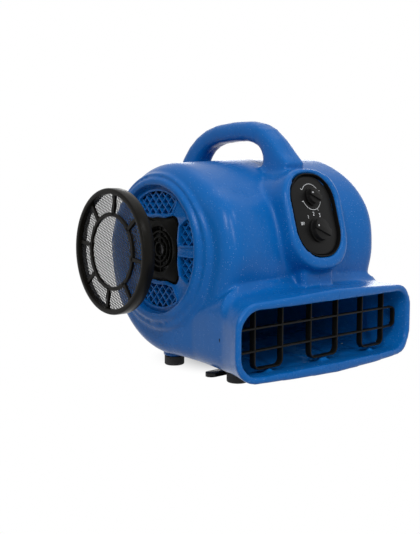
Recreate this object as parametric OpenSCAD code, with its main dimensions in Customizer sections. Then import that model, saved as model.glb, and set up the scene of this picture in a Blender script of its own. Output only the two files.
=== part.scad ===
// Portable centrifugal air mover: a two-part moulded housing with a carrying
// handle, a control pod, two inlets with pull-off filters and a wide outlet.
// Origin on the floor, on the parting plane, below the fan axis.
// X runs to the right along the fan axis, -Y is the outlet side, Z is up.

/* [Drum] */
// Height of the fan and inlet axis above the floor
axis_z = 160; // [156:1:164]
// Outer radius of the drum at the parting plane
drum_r = 130; // [128:0.5:131]
// Place of the drum's own centre behind the fan axis
drum_y = -7; // [-9:0.5:-5]
// Height of the drum's own centre
drum_z = 150; // [148:1:152]
// Half width of the drum, to its end faces
drum_half = 139; // [137:1:141]
// Radius that rounds the drum into its end faces
shoulder_r = 21; // [14:1:24]
// Thickness of the moulded walls
wall = 3.5; // [3:0.25:4]

/* [Inlet] */
// Radius of the inlet recess that takes a filter
inlet_r = 82.5; // [82:0.25:84]
// Reach of the inlet rim from the parting plane
rim_x = 149; // [147:0.5:151]
// Radius of the raised collar round the rim
collar_r = 105; // [101:1:107]
// Front face of the inlet grille
grille_x = 139.5; // [138:0.5:140]
// Pitch of the diamond lattice
lattice_pitch = 9.5; // [9:0.5:12]
// Width of a lattice bar
lattice_bar = 1.7; // [1.4:0.1:2.2]

/* [Outlet] */
// Half width of the outlet lip
lip_half = 166; // [162:1:170]
// Place of the lip's ends in front of the fan axis
lip_y = -179; // [-182:1:-176]
// How far the lip bows forward at the parting plane
lip_bow = 8; // [4:1:10]
// Top of the lip at its ends
lip_top = 107.5; // [105:0.5:110]
// Bottom of the lip at its ends
lip_bottom = 16.5; // [15:0.5:18]
// Rise of the lip from its ends to the parting plane
lip_crown = 7.5; // [4:0.5:8]
// Outer corner radius of the lip
lip_corner = 30; // [26:1:34]
// Thickness of the lip's rolled edge at its ends
lip_band = 9; // [8:0.5:11]

/* [Control pod] */
// Lean of the pod's face from upright
pod_lean = 16; // [14:1:18]
// Half width of the pod's frame
pod_half = 52; // [50:1:54]
// Length of the pod's frame along its face
pod_long = 132; // [130:1:136]
// Half width of the black panel
panel_half = 40.3; // [39:0.1:41]
// Length of the black panel
panel_long = 108; // [106:1:110]
// Depth of the panel below the pod's frame
panel_set = 7; // [5:0.5:8]
// Diameter of the timer knob
timer_d = 27; // [25:0.5:29]
// Diameter of the speed knob
speed_d = 31; // [29:0.5:33]

/* [Handle] */
// Height of the handle's crown above the floor
handle_top = 332; // [330:1:336]
// Half thickness of the handle
handle_half = 17; // [15:0.5:19]

/* [Fan] */
// Outer radius of the blower wheel
wheel_r = 92; // [86:1:96]
// Half length of the blower wheel
wheel_half = 100; // [90:1:104]
// Number of blades round the wheel
blades = 40; // [30:1:44]
// Radius of the motor can
motor_r = 44; // [40:1:46]

/* [Filter] */
// Outer radius of a filter frame
filter_r = 78; // [76:0.5:79]
// Depth of a filter frame
filter_deep = 15; // [13:0.5:16]
// How far the left filter is drawn off in the rest pose
filter_pull = 60; // [40:1:70]
// Pitch of the filter net
net_pitch = 8; // [8:0.5:10]

/* [Base] */
// Radius of a rubber foot
foot_r = 13.5; // [12:0.5:14]
// Height of a rubber foot
foot_h = 12; // [11:0.5:13]
// Half distance between left and right feet
foot_x = 100; // [96:1:102]
// Place of the front feet
foot_front_y = -110; // [-114:1:-108]
// Place of the rear feet
foot_rear_y = 17; // [14:1:20]
// Place of the folding stand's pivot
stand_y = -88; // [-90:1:-86]

/* [Hidden] */
$fn = 96;
blue = "#2f66b3";
black = "#1c1c1d";
rubber = "#141414";
steel = "#b9bcc0";
eps = 0.01;

// Lofts: rings of points, each ring with the same count, running towards the front
function arc(cx, cy, r, a0, a1, n) =
    [for (i = [0:n]) let (a = a0 + (a1 - a0) * i / n) [cx + r * cos(a), cy + r * sin(a)]];
function back_cap(n) = [for (j = [0:n / 2 - 2], f = [[j, n - 1 - j, j + 1], [j + 1, n - 1 - j, n - 2 - j]]) f];
function front_cap(o, n) = [for (f = back_cap(n)) [o + f[0], o + f[2], o + f[1]]];
function sides(m, n) = [for (i = [0:m - 2], j = [0:n - 1])
    let (k = (j + 1) % n, a = i * n, b = a + n) each [[a + j, a + k, b + j], [a + k, b + k, b + j]]];
module loft(rings) {
    m = len(rings);
    n = len(rings[0]);
    polyhedron([for (r = rings) each r], concat(sides(m, n), back_cap(n), front_cap((m - 1) * n, n)),
        convexity = 6);
}
// Half shapes reach a little past the parting plane, where the housing is then cut
past = 4;
function over(x) = x > 0 ? x : -past;
// Half of a rounded outline, from its top on the parting plane round to its bottom
function half_outline(w, top, bottom, r, n) = concat(
    [for (i = [0:3]) [(w - r) * i / 4, top]], arc(w - r, top - r, r, 90, 0, n),
    arc(w - r, bottom + r, r, 0, -90, n), [for (i = [3:-1:0]) [(w - r) * i / 4, bottom]]);
// The same outline, whole
function full_outline(w, top, bottom, r, n) = let (h = half_outline(w, top, bottom, r, n))
    concat(h, [for (i = [len(h) - 2:-1:1]) [-h[i][0], h[i][1]]]);

// Solids of revolution about a line along +X, from a profile of radius and reach
module about_x(y, z) { translate([0, y, z]) rotate([0, 90, 0]) rotate_extrude() children(); }
// Pieces on the left end: 2D x runs to the front, 2D y runs up, and the height runs outwards
module left_end(x) { translate([-x, 0, axis_z]) rotate([90, 0, -90]) children(); }
module ring(outer, inner, h) {
    difference() {
        cylinder(r = outer, h = h);
        translate([0, 0, -1]) cylinder(r = inner, h = h + 2);
    }
}

// Drum, with the fan axis a little behind and above its own centre
module drum_solid(cut) {
    r = drum_r - cut;
    h = drum_half - cut;
    s = shoulder_r - cut;
    about_x(drum_y, drum_z) {
        translate([0, -past]) square([r, h - s + past]);
        square([r - s, h]);
        translate([r - s, h - s]) circle(s);
    }
}

// Inlet rim: a raised collar, a groove and a rolled inner edge
collar_x = rim_x - 4.5;
collar_round = 5;
groove_r = 94;
rim_roll = 5;
seat_r = 76;
grille_t = 4;
seat_x = grille_x - grille_t;
tube_r = inlet_r + wall;
module rim_solid() {
    about_x(0, axis_z) {
        translate([0, seat_x - wall]) square([collar_r - collar_round, collar_x - seat_x + wall]);
        translate([0, seat_x - wall]) square([collar_r, collar_x - collar_round - seat_x + wall]);
        translate([collar_r - collar_round, collar_x - collar_round]) circle(collar_round);
        translate([0, seat_x]) square([groove_r - rim_roll, rim_x - seat_x]);
        translate([groove_r - rim_roll, rim_x - rim_roll]) circle(rim_roll);
    }
}
module inlet_cut() {
    about_x(0, axis_z) {
        translate([0, seat_x]) square([inlet_r, rim_x]);
        translate([0, -2 * past]) square([seat_r, rim_x]);
        translate([groove_r + 1.2, collar_x + 0.4]) circle(2.2);
    }
}
module hollow() {
    difference() {
        drum_solid(wall);
        about_x(0, axis_z) translate([0, seat_x - wall]) square([tube_r, rim_x]);
    }
}

// Outlet duct: rounded sections that open from the drum to the bowed lip
duct_back = -20;
duct_floor = 21;
valley_r = 12;
valley_z = lip_top + lip_crown + 2;
valley_y = drum_y - sqrt(pow(drum_r + valley_r, 2) - pow(valley_z + valley_r - drum_z, 2));
roll = 2.2;
function duct_t(y) = min(1, (duct_back - y) / (duct_back - lip_y));
function duct_half(y) = drum_half + (lip_half - drum_half) * pow(duct_t(y), 3);
function duct_bottom(y) = duct_floor + (lip_bottom - duct_floor) * duct_t(y);
function duct_corner(y) = shoulder_r + (lip_corner - shoulder_r) * duct_t(y);
function duct_ring(y, half, top, bottom, corner, crown) =
    [for (p = half_outline(half, top, bottom, corner, 7))
        let (s = p[0] / half, up = p[1] > (top + bottom) / 2 ? 1 : -1)
        [over(p[0]), y - lip_bow * pow(duct_t(y), 4) * (1 - s * s), p[1] + up * crown * (1 - s)]];
function outer_ring(y, top, inset) = duct_ring(y, duct_half(y) - inset, top - inset,
    duct_bottom(y) + inset, duct_corner(y) - inset, lip_crown * duct_t(y));
outer_rings = concat(
    [outer_ring(duct_back, 75, 0), outer_ring(-70, 100, 0)],
    [for (a = [85, 60, 30, 0]) outer_ring(valley_y + valley_r * sin(a),
        valley_z - lip_crown + valley_r * (1 - cos(a)), 0)],
    [outer_ring(-161, lip_top + 1, 0), outer_ring(lip_y + roll, lip_top, 0)],
    [outer_ring(lip_y + roll * 0.3, lip_top, roll * 0.3), outer_ring(lip_y, lip_top, roll)]);
mouth_top = lip_top - 8;
mouth_bottom = lip_bottom + 7;
mouth_half = lip_half - lip_band;
function inner_ring(y, half, top, bottom, corner) = duct_ring(y, half, top, bottom, corner, 1);
function wall_ring(y, top) =
    inner_ring(y, duct_half(y) - wall, top, duct_bottom(y) + wall, duct_corner(y) - wall);
inner_rings = [wall_ring(duct_back - 2, 68), wall_ring(-70, 95), wall_ring(-120, lip_top - 2),
    wall_ring(-150, lip_top - 2), inner_ring(lip_y + 12, mouth_half - 4, mouth_top, mouth_bottom, 23),
    inner_ring(lip_y - 1, mouth_half, mouth_top, mouth_bottom, 24),
    inner_ring(lip_y - 30, mouth_half + 1, mouth_top, mouth_bottom, 24)];

// Control pod: a leaning frame that grows out of the drum
pod_foot = [0, -166, 146];
pod_low = -8;
pod_corner = 44;
panel_low = 8;
panel_corner = 36;
panel_gap = 0.8;
panel_t = 3;
timer_v = 86;
speed_v = 42;
bush_r = 5;
spindle_r = 3;
pocket_half = 33;
function pod_point(u, v, d) = [over(u), pod_foot[1] + v * sin(pod_lean) + d * cos(pod_lean),
    pod_foot[2] + v * cos(pod_lean) - d * sin(pod_lean)];
function pod_ring(grow, d) = [for (p = half_outline(pod_half + grow, pod_low + pod_long + grow,
    pod_low - grow, pod_corner + grow, 9)) pod_point(p[0], p[1], d)];
pod_rings = [pod_ring(18, 72), pod_ring(7, 44), pod_ring(1.5, 24), pod_ring(0, 4.5), pod_ring(-1.3, 1.4),
             pod_ring(-4.5, 0)];
// Pieces on the pod: 2D x runs to the right, 2D y runs up the face, and the height runs outwards
module on_pod(depth) { translate(pod_foot) rotate([90 - pod_lean, 0, 0]) translate([0, 0, -depth]) children(); }
module panel_shape(half, low, long, r) { polygon(full_outline(half, low + long, low, r, 12)); }
module pod_pocket() {
    on_pod(panel_set + panel_t) linear_extrude(panel_set + panel_t + 1)
        panel_shape(panel_half + panel_gap, panel_low - panel_gap, panel_long + 2 * panel_gap, panel_corner);
    difference() {
        on_pod(60) linear_extrude(60) panel_shape(pocket_half, panel_low + 6, panel_long - 12, 28);
        translate([-80, drum_y, drum_z]) rotate([0, 90, 0]) cylinder(r = drum_r, h = 160);
    }
}
// Neck that carries the pod's lower end down to the duct
neck_half = 29;
neck_y = -154;
neck_round = 7;
module neck() {
    translate([0, 0, lip_top + 1]) linear_extrude(40) {
        translate([-past, neck_y + neck_round]) square([neck_half + past, 30]);
        translate([-past, neck_y]) square([neck_half - neck_round + past, 30]);
        translate([neck_half - neck_round, neck_y + neck_round]) circle(neck_round);
    }
}

// Handle: an arch swept from the drum's back, over the top, into the pod
arch_y = -2;
arch_z = 165;
arch_rear = 110;
arch_front = 97;
grip_h = 27;
root_h = 42;
arch_power = 2 / 3;
function arch_mid(a) = [arch_y + (a < 90 ? arch_rear : -arch_front) * pow(abs(cos(a)), arch_power),
    arch_z + (handle_top - grip_h / 2 - arch_z) * pow(sin(a), arch_power)];
function arch_way(a) = let (d = arch_mid(a + 1) - arch_mid(a - 1)) d / norm(d);
function root(a) = pow(abs(cos(a)), 3);
function handle_ring(a) = let (m = arch_mid(a), w = arch_way(a), h = grip_h + (root_h - grip_h) * root(a))
    [for (p = half_outline(handle_half + 5 * root(a), h / 2, -h / 2, 12, 6))
        [over(p[0]), m[0] + p[1] * w[1], m[1] - p[1] * w[0]]];
handle_rings = [for (a = [10:10:170]) handle_ring(a)];
screw_spots = [[84, 284], [-83, 282]];

// Seats under the housing
stand_z = 9;
clip_x = 75;
clip_top = 15.5;
clip_w = 12;
clip_long = 22;
clip_screw_y = 8.5;
clip_screw_r = 1.45;
foot_screw_r = 2;
seat_lip = 1.5;
seat_h = 18;
module seats() {
    for (y = [foot_front_y, foot_rear_y])
        translate([foot_x, y, foot_h]) cylinder(r = foot_r + seat_lip, h = seat_h);
    translate([clip_x - clip_w / 2 - seat_lip, stand_y - clip_long / 2, clip_top])
        cube([clip_w + 2 * seat_lip, clip_long, seat_h / 2]);
}
module seat_holes() {
    for (y = [foot_front_y, foot_rear_y])
        translate([foot_x, y, foot_h - 1]) cylinder(r = foot_screw_r, h = 14);
    for (s = [-1, 1])
        translate([clip_x, stand_y + s * clip_screw_y, clip_top - 1]) cylinder(r = clip_screw_r + 0.05, h = 8);
}

// Guard inside the mouth
guard_y = -163.5;
guard_deep = 8;
guard_low = 26;
guard_high = 96.5;
guard_wire = 2.2;
guard_rows = [49, 75.7];
guard_half = 149;
guard_pairs = [[-121.8, -76], [-25.3, 25.3], [76, 121.8]];
lug = 6;
module guard_lugs() {
    for (z = [guard_low - 9, guard_high])
        for (x = [0, guard_pairs[2][0] + 18])
            translate([x, guard_y, z]) cube([lug, guard_deep, 9]);
}

// Cord inlet on the drum's back
gland_x = 70;
gland_angle = -28;
gland_r = 8;
gland_boss = 0.6;
module at_gland() {
    translate([gland_x, drum_y, drum_z]) rotate([gland_angle, 0, 0]) rotate([-90, 0, 0])
        translate([0, 0, drum_r]) children();
}

side_hole = [-145, 64];
side_hole_r = 2.3;
module half_housing() {
    difference() {
        union() {
            drum_solid(0);
            rim_solid();
            loft(outer_rings);
            loft(pod_rings);
            neck();
            loft(handle_rings);
            seats();
        }
        hollow();
        loft(inner_rings);
        inlet_cut();
        pod_pocket();
        seat_holes();
        translate([-2 * past, -300, -10]) cube([2 * past, 600, 500]);
        translate([drum_half - 9, side_hole[0], side_hole[1]]) rotate([0, 90, 0]) cylinder(r = side_hole_r, h = 40);
    }
    guard_lugs();
}
module left_housing() {
    color(blue) difference() {
        mirror([1, 0, 0]) half_housing();
        for (s = screw_spots) translate([-12, s[0], s[1]]) rotate([0, 90, 0]) cylinder(r = 1.6, h = 13);
    }
}
module right_housing() {
    color(blue) difference() {
        union() {
            half_housing();
            at_gland() translate([0, 0, -wall]) cylinder(r = gland_r + 5, h = wall + gland_boss);
        }
        for (s = screw_spots) translate([-1, s[0], s[1]]) rotate([0, 90, 0]) {
            cylinder(r = 2.2, h = 30);
            translate([0, 0, 11]) cylinder(r = 4.2, h = 30);
        }
        at_gland() translate([0, 0, -20]) cylinder(r = gland_r, h = 40);
    }
}

// Motor cover outline: four arms between hollow sides
cover_waist = 37;
cover_tip = 53;
function cover_r(a) = cover_waist + (cover_tip - cover_waist) * pow(abs(sin(2 * a)), 5);
module cover_shape(grow) {
    polygon([for (i = [0:119]) let (a = 3 * i, r = cover_r(a) + grow) [r * cos(a), r * sin(a)]]);
}
// Screws on the arms' diagonals, behind the solid part of the grille
diagonals = [45:90:315];
cover_screw_r = 66;
cover_ear = 6;
cover_bolt_r = 1.6;
cover_bite = 2.5;
module at_cover_screws() { for (a = diagonals) rotate(a) translate([cover_screw_r, 0, 0]) children(); }

// Inlet grille: windows of diamond lattice between raised borders
window_r = 75;
window_span = 33;
border = 3;
border_h = 1.2;
lattice_t = 1.8;
grille_fit = 0.15;
cover_gap = 4.5;
channel_h = 15;
function window_in(a, inner) = inner > 0 ? inner : cover_r(a) + 9;
module window(mid, inner) {
    offset(r = 4) offset(delta = -4) polygon(concat(
        arc(0, 0, window_r, mid - window_span, mid + window_span, 16),
        [for (i = [16:-1:0]) let (a = mid - window_span + 2 * window_span * i / 16)
            [window_in(a, inner) * cos(a), window_in(a, inner) * sin(a)]]));
}
module windows(inner, channel) {
    for (m = [90, 180, 270]) window(m, inner);
    difference() {
        window(0, inner);
        if (channel) translate([0, -channel_h / 2]) square([inlet_r, channel_h]);
    }
}
module lattice() {
    reach = inlet_r;
    for (a = [45, 135]) rotate(a) for (i = [-8:8])
        translate([-reach, i * lattice_pitch - lattice_bar / 2]) square([2 * reach, lattice_bar]);
}
module grille(inner, channel) {
    left_end(seat_x) {
        difference() {
            linear_extrude(grille_t) difference() {
                circle(inlet_r - grille_fit);
                windows(inner, channel);
                if (channel) cover_shape(cover_gap);
            }
            if (channel) at_cover_screws() translate([0, 0, -1]) cylinder(r = cover_bolt_r + 0.02, h = cover_bite + 1);
        }
        linear_extrude(lattice_t) intersection() {
            lattice();
            windows(inner, channel);
        }
        translate([0, 0, grille_t]) linear_extrude(border_h) difference() {
            offset(delta = border) windows(inner, channel);
            windows(inner, channel);
        }
    }
}
module left_inlet_grille() { color(blue) grille(0, true); }
module right_inlet_grille() { color(blue) mirror([1, 0, 0]) grille(34, false); }

// Motor and its cover, held behind the left grille
flange_t = 3;
flange_x = seat_x - flange_t;
vent_r = 30;
cover_rise = 3;
vent_rings = [9, 16, 23];
module motor_cover() {
    color(black) left_end(flange_x) {
        difference() {
            union() {
                linear_extrude(flange_t) union() {
                    cover_shape(7.5);
                    for (a = diagonals) rotate(a) {
                        translate([cover_waist, -cover_ear]) square([cover_screw_r - cover_waist, 2 * cover_ear]);
                        translate([cover_screw_r, 0]) circle(cover_ear);
                    }
                }
                linear_extrude(flange_t + cover_rise) cover_shape(0);
            }
            translate([0, 0, -1]) cylinder(r = vent_r, h = 20);
            at_cover_screws() translate([0, 0, -1]) cylinder(r = cover_bolt_r + 0.1, h = 20);
        }
        for (r = vent_rings) ring(r + 1, r - 1, flange_t + cover_rise / 2);
        for (a = [0:45:315]) rotate(a) translate([vent_rings[0], -1, 0])
            cube([vent_r - vent_rings[0] + 0.5, 2, flange_t]);
    }
}
module motor_cover_screws() {
    color(steel) left_end(flange_x) at_cover_screws() {
        translate([0, 0, -cover_bite]) cylinder(r = 2 * cover_bolt_r, h = cover_bite);
        translate([0, 0, -eps]) cylinder(r = cover_bolt_r, h = flange_t + cover_bite);
    }
}
motor_long = 72;
motor_x = flange_x;
shaft_r = 4;
bearing_r = 11;
bearing_w = 7;
module motor_can() {
    color(steel) left_end(motor_x - motor_long) difference() {
        union() {
            translate([0, 0, 6]) cylinder(r = motor_r, h = motor_long - 16);
            cylinder(r = motor_r - 6, h = motor_long - 6);
            for (a = [0:90:270]) rotate(a + 45) translate([motor_r - 6, 0, motor_long - 20]) cylinder(r = 5, h = 20);
        }
        translate([0, 0, -1]) cylinder(r = shaft_r + 1, h = motor_long + 2);
        for (z = [-1, motor_long - 6 - bearing_w]) translate([0, 0, z]) cylinder(r = bearing_r, h = bearing_w + 1);
        translate([0, 0, motor_long - 7]) cylinder(r = bearing_r, h = 10);
    }
}
module motor_bearings() {
    color(steel) left_end(motor_x - motor_long) for (z = [0, motor_long - 6 - bearing_w])
        translate([0, 0, z]) ring(bearing_r - 0.02, shaft_r + 0.02, bearing_w);
}
hub_x = 14;
module motor_shaft() {
    color(steel) left_end(-hub_x) cylinder(r = shaft_r, h = motor_x + hub_x - 6);
}
// Blower wheel: forward-curved blades between two end rings and a middle disc
blade_in = 77;
hub_r = 14;
disc_t = 4;
blade_half_t = 0.8;
function blade_point(s, side) = let (r = blade_in + (wheel_r - 1 - blade_in) * s,
    a = 9 * pow(s, 1.6) + side * blade_half_t / r * 57.3) [r * cos(a), r * sin(a)];
module blower_wheel() {
    color(black) left_end(0) {
        difference() {
            union() {
                translate([0, 0, -wheel_half]) linear_extrude(2 * wheel_half) for (i = [0:blades - 1])
                    rotate(i * 360 / blades) polygon(concat([for (s = [0:0.25:1]) blade_point(s, 1)],
                        [for (s = [1:-0.25:0]) blade_point(s, -1)]));
                for (z = [-wheel_half, wheel_half - 3]) translate([0, 0, z]) ring(wheel_r, blade_in + 2, 3);
                translate([0, 0, -disc_t / 2]) ring(wheel_r, hub_r - 2, disc_t);
            }
            translate([0, 0, -disc_t]) cylinder(r = hub_r - 2, h = 2 * disc_t);
        }
    }
}
module wheel_hub() {
    color(steel) left_end(0) difference() {
        union() {
            translate([0, 0, -hub_x + 2]) cylinder(r = hub_r - 2.02, h = hub_x);
            translate([0, 0, disc_t / 2]) cylinder(r = hub_r + 4, h = 10);
        }
        translate([0, 0, -20]) cylinder(r = shaft_r + 0.01, h = 40);
        translate([0, 0, disc_t / 2 + 5]) rotate([0, 90, 0]) cylinder(r = 2, h = 30);
    }
}
module hub_screw() {
    color(steel) left_end(0) translate([shaft_r + 0.1, 0, disc_t / 2 + 5]) rotate([0, 90, 0]) cylinder(r = 1.98, h = 12);
}

// Control panel, timer and speed switch
module control_panel() {
    color(black) on_pod(panel_set + panel_t) {
        difference() {
            linear_extrude(panel_t) panel_shape(panel_half, panel_low, panel_long, panel_corner);
            for (v = [timer_v, speed_v]) translate([0, v, -1]) cylinder(r = bush_r + 0.1, h = 10);
        }
        translate([0, 0, panel_t]) linear_extrude(0.8) difference() {
            panel_shape(panel_half, panel_low, panel_long, panel_corner);
            panel_shape(panel_half - 1.6, panel_low + 1.6, panel_long - 3.2, panel_corner - 1.6);
        }
    }
}
module switch_body(v, side, deep) {
    on_pod(panel_set + panel_t) translate([0, v, 0]) difference() {
        union() {
            translate([-side / 2, -side / 2, -deep]) cube([side, side, deep]);
            cylinder(r = bush_r, h = panel_t + 3);
        }
        translate([0, 0, -deep + 3]) cylinder(r = spindle_r + 0.05, h = deep + 20);
    }
}
module spindle(v, deep) {
    color(steel) on_pod(panel_set + panel_t) translate([0, v, -deep + 3.2])
        cylinder(r = spindle_r, h = deep + 8.4);
}
module knob(v, d, h) {
    color(black) on_pod(panel_set) translate([0, v, 0.6]) difference() {
        union() {
            cylinder(r = d / 2, h = 4);
            translate([0, 0, 4 - eps]) cylinder(r1 = d / 2 - 1, r2 = d / 2 - 2, h = h - 8);
            rotate(155) intersection() {
                translate([-d / 2, -d / 7, 0]) cube([d, 2 * d / 7, h]);
                cylinder(r = d / 2 - 1.5, h = h);
            }
        }
        translate([0, 0, -1]) cylinder(r = spindle_r + 0.01, h = 9.2);
        translate([0, 0, -1]) cylinder(r = bush_r + 0.5, h = 4.2);
    }
}
timer_side = 35;
timer_deep = 12.6;
speed_side = 30;
speed_deep = 11;
module timer_body() { color("dimgray") switch_body(timer_v, timer_side, timer_deep); }
module timer_shaft() { spindle(timer_v, timer_deep); }
module timer_knob() { knob(timer_v, timer_d, 15); }
module speed_switch() { color("dimgray") switch_body(speed_v, speed_side, speed_deep); }
module speed_shaft() { spindle(speed_v, speed_deep); }
module speed_knob() { knob(speed_v, speed_d, 17); }
capacitor_size = [36, 9, 11];
module capacitor() {
    color("silver") on_pod(panel_set + panel_t)
        translate([-capacitor_size[0] / 2, speed_v + speed_side / 2 + 1.2, -capacitor_size[2]]) cube(capacitor_size);
}

// Outlet guard: three upright loops crossed by one long loop
module loop_shape(x0, x1, z0, z1, r) {
    difference() {
        rounded(x0, x1, z0, z1, r);
        rounded(x0 + guard_wire, x1 - guard_wire, z0 + guard_wire, z1 - guard_wire, r - guard_wire);
    }
}
module rounded(x0, x1, z0, z1, r) {
    translate([x0 + r, z0]) square([x1 - x0 - 2 * r, z1 - z0]);
    translate([x0, z0 + r]) square([x1 - x0, z1 - z0 - 2 * r]);
    for (x = [x0 + r, x1 - r], z = [z0 + r, z1 - r]) translate([x, z]) circle(r);
}
module outlet_guard() {
    half_wire = guard_wire / 2;
    color(black) {
        for (p = guard_pairs) translate([0, guard_y + guard_deep, 0]) rotate([90, 0, 0]) linear_extrude(guard_deep)
            loop_shape(p[0] - half_wire, p[1] + half_wire, guard_low, guard_high, 8);
        translate([0, guard_y + 3.5, 0]) rotate([90, 0, 0]) linear_extrude(3.5)
            loop_shape(-guard_half, guard_half, guard_rows[0] - half_wire, guard_rows[1] + half_wire, 7);
    }
}

// Filters: a spoked frame over a net
spoke = 3;
inner_ring_r = 46;
net_t = 0.8;
net_bar = 1.2;
net_z = 7;
module filter_frame() {
    color(black) {
        ring(filter_r, filter_r - 2.5, filter_deep);
        translate([0, 0, filter_deep - 4]) ring(filter_r - eps, filter_r - 5, 4);
        translate([0, 0, net_z + net_t]) {
            ring(inner_ring_r + 1.5, inner_ring_r - 1.5, 3);
            for (a = [0:45:315]) rotate(a + 8) translate([inner_ring_r, -spoke / 2, 0])
                cube([filter_r - 1 - inner_ring_r, spoke, 3]);
        }
        translate([0, 0, net_z - 2]) ring(filter_r - eps, filter_r - 5, 2);
    }
}
module filter_net() {
    color("dimgray") translate([0, 0, net_z]) linear_extrude(net_t) {
        intersection() {
            circle(filter_r - 3);
            union() for (a = [20, 110]) rotate(a) for (i = [-9:9])
                translate([-filter_r, i * net_pitch - net_bar / 2]) square([2 * filter_r, net_bar]);
        }
        difference() {
            circle(filter_r - 2.6);
            circle(filter_r - 4.6);
        }
    }
}
filter_gap = 0.3;
filter_seat = grille_x + border_h + filter_gap;
module left_filter_frame() { left_end(filter_seat + filter_pull) filter_frame(); }
module left_filter_net() { left_end(filter_seat + filter_pull) filter_net(); }
module right_filter_frame() { mirror([1, 0, 0]) left_end(filter_seat) filter_frame(); }
module right_filter_net() { mirror([1, 0, 0]) left_end(filter_seat) filter_net(); }

// Feet and folding stand
module foot(x, y) {
    color(rubber) translate([x, y, 0]) difference() {
        rotate_extrude() {
            square([foot_r - 2, foot_h]);
            translate([0, 2]) square([foot_r, foot_h - 2]);
            translate([foot_r - 2, 2]) circle(2);
        }
        translate([0, 0, -1]) cylinder(r = 5, h = 6);
        translate([0, 0, -1]) cylinder(r = foot_screw_r + 0.2, h = foot_h + 2);
    }
}
module front_left_foot() { foot(-foot_x, foot_front_y); }
module front_right_foot() { foot(foot_x, foot_front_y); }
module rear_left_foot() { foot(-foot_x, foot_rear_y); }
module rear_right_foot() { foot(foot_x, foot_rear_y); }
module foot_screws() {
    color(steel) for (x = [-foot_x, foot_x], y = [foot_front_y, foot_rear_y]) translate([x, y, 0]) {
        translate([0, 0, 2]) cylinder(r = 4.2, h = 3);
        translate([0, 0, 4]) cylinder(r = foot_screw_r - 0.05, h = 18);
    }
}
rod_r = 3;
stand_leg_x = 58;
stand_reach = 78;
tab_in = 104;
tab_out = 131;
tab_half = 7.5;
tab_t = 5;
module folding_stand() {
    color(black) translate([0, stand_y, stand_z]) {
        translate([-tab_in - 3, 0, 0]) rotate([0, 90, 0]) cylinder(r = rod_r, h = 2 * tab_in + 6);
        for (s = [-1, 1]) translate([s * stand_leg_x, 0, 0]) rotate([-90, 0, 0]) cylinder(r = rod_r, h = stand_reach);
        translate([-stand_leg_x, stand_reach, 0]) rotate([0, 90, 0]) cylinder(r = rod_r, h = 2 * stand_leg_x);
        for (s = [-1, 1]) translate([s * stand_leg_x, stand_reach, 0]) sphere(rod_r);
        for (s = [-1, 1]) {
            translate([s * (tab_out - tab_half), 0, -tab_t / 2]) cylinder(r = tab_half, h = tab_t);
            translate([s > 0 ? tab_in : -tab_out + tab_half, -tab_half, -tab_t / 2])
                cube([tab_out - tab_half - tab_in, 2 * tab_half, tab_t]);
        }
    }
}
clip_t = 4;
clip_head = 2;
eye_r = 6;
rod_fit = 0.05;
module stand_clip(s) {
    color(black) translate([s * clip_x, stand_y, 0]) difference() {
        union() {
            translate([-clip_w / 2, -clip_long / 2, clip_top - clip_t]) cube([clip_w, clip_long, clip_t]);
            translate([-clip_w / 2, 0, stand_z]) rotate([0, 90, 0]) cylinder(r = eye_r, h = clip_w);
            translate([-clip_w / 2, -eye_r, stand_z]) cube([clip_w, 2 * eye_r, clip_top - stand_z]);
        }
        translate([-clip_w, 0, stand_z]) rotate([0, 90, 0]) cylinder(r = rod_r + rod_fit, h = 2 * clip_w);
        for (t = [-1, 1]) translate([0, t * clip_screw_y, 0]) cylinder(r = clip_screw_r + 0.15, h = 40);
    }
}
module left_stand_clip() { stand_clip(-1); }
module right_stand_clip() { stand_clip(1); }
module stand_clip_screws() {
    color(steel) for (s = [-1, 1], t = [-1, 1])
        translate([s * clip_x, stand_y + t * clip_screw_y, clip_top - clip_t - clip_head]) {
            cylinder(r = clip_screw_r + 0.95, h = clip_head);
            cylinder(r = clip_screw_r, h = clip_t + clip_head + 6);
        }
}

module housing_screws() {
    color(steel) for (s = screw_spots) translate([0, s[0], s[1]]) rotate([0, 90, 0]) {
        translate([0, 0, 11]) cylinder(r = 3.8, h = 3);
        translate([0, 0, -10]) cylinder(r = 1.55, h = 22);
    }
}
module cord_gland() {
    color(black) at_gland() difference() {
        union() {
            translate([0, 0, gland_boss]) cylinder(r = gland_r + 4, h = 3);
            translate([0, 0, -9]) cylinder(r = gland_r - 0.05, h = 10);
            translate([0, 0, 3]) cylinder(r1 = gland_r + 1, r2 = gland_r - 2, h = 8);
        }
        translate([0, 0, -20]) cylinder(r = 4.2, h = 60);
    }
}

left_housing();
right_housing();
left_inlet_grille();
right_inlet_grille();
motor_cover();
motor_cover_screws();
motor_can();
motor_bearings();
motor_shaft();
blower_wheel();
wheel_hub();
hub_screw();
control_panel();
timer_body();
timer_shaft();
timer_knob();
speed_switch();
speed_shaft();
speed_knob();
capacitor();
outlet_guard();
left_filter_frame();
left_filter_net();
right_filter_frame();
right_filter_net();
front_left_foot();
front_right_foot();
rear_left_foot();
rear_right_foot();
foot_screws();
folding_stand();
left_stand_clip();
right_stand_clip();
stand_clip_screws();
housing_screws();
cord_gland();
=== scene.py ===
"""Looks of a compact air mover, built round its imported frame.

Every piece is in metres, in the frame's own axes: X to the right along the fan axis, -Y towards the
outlet and Z up, with the origin on the floor below the fan axis.
"""

from __future__ import annotations

import logging
import math
from dataclasses import dataclass
from enum import Enum

import bmesh
import bpy
from mathutils import Matrix, Vector

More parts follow.
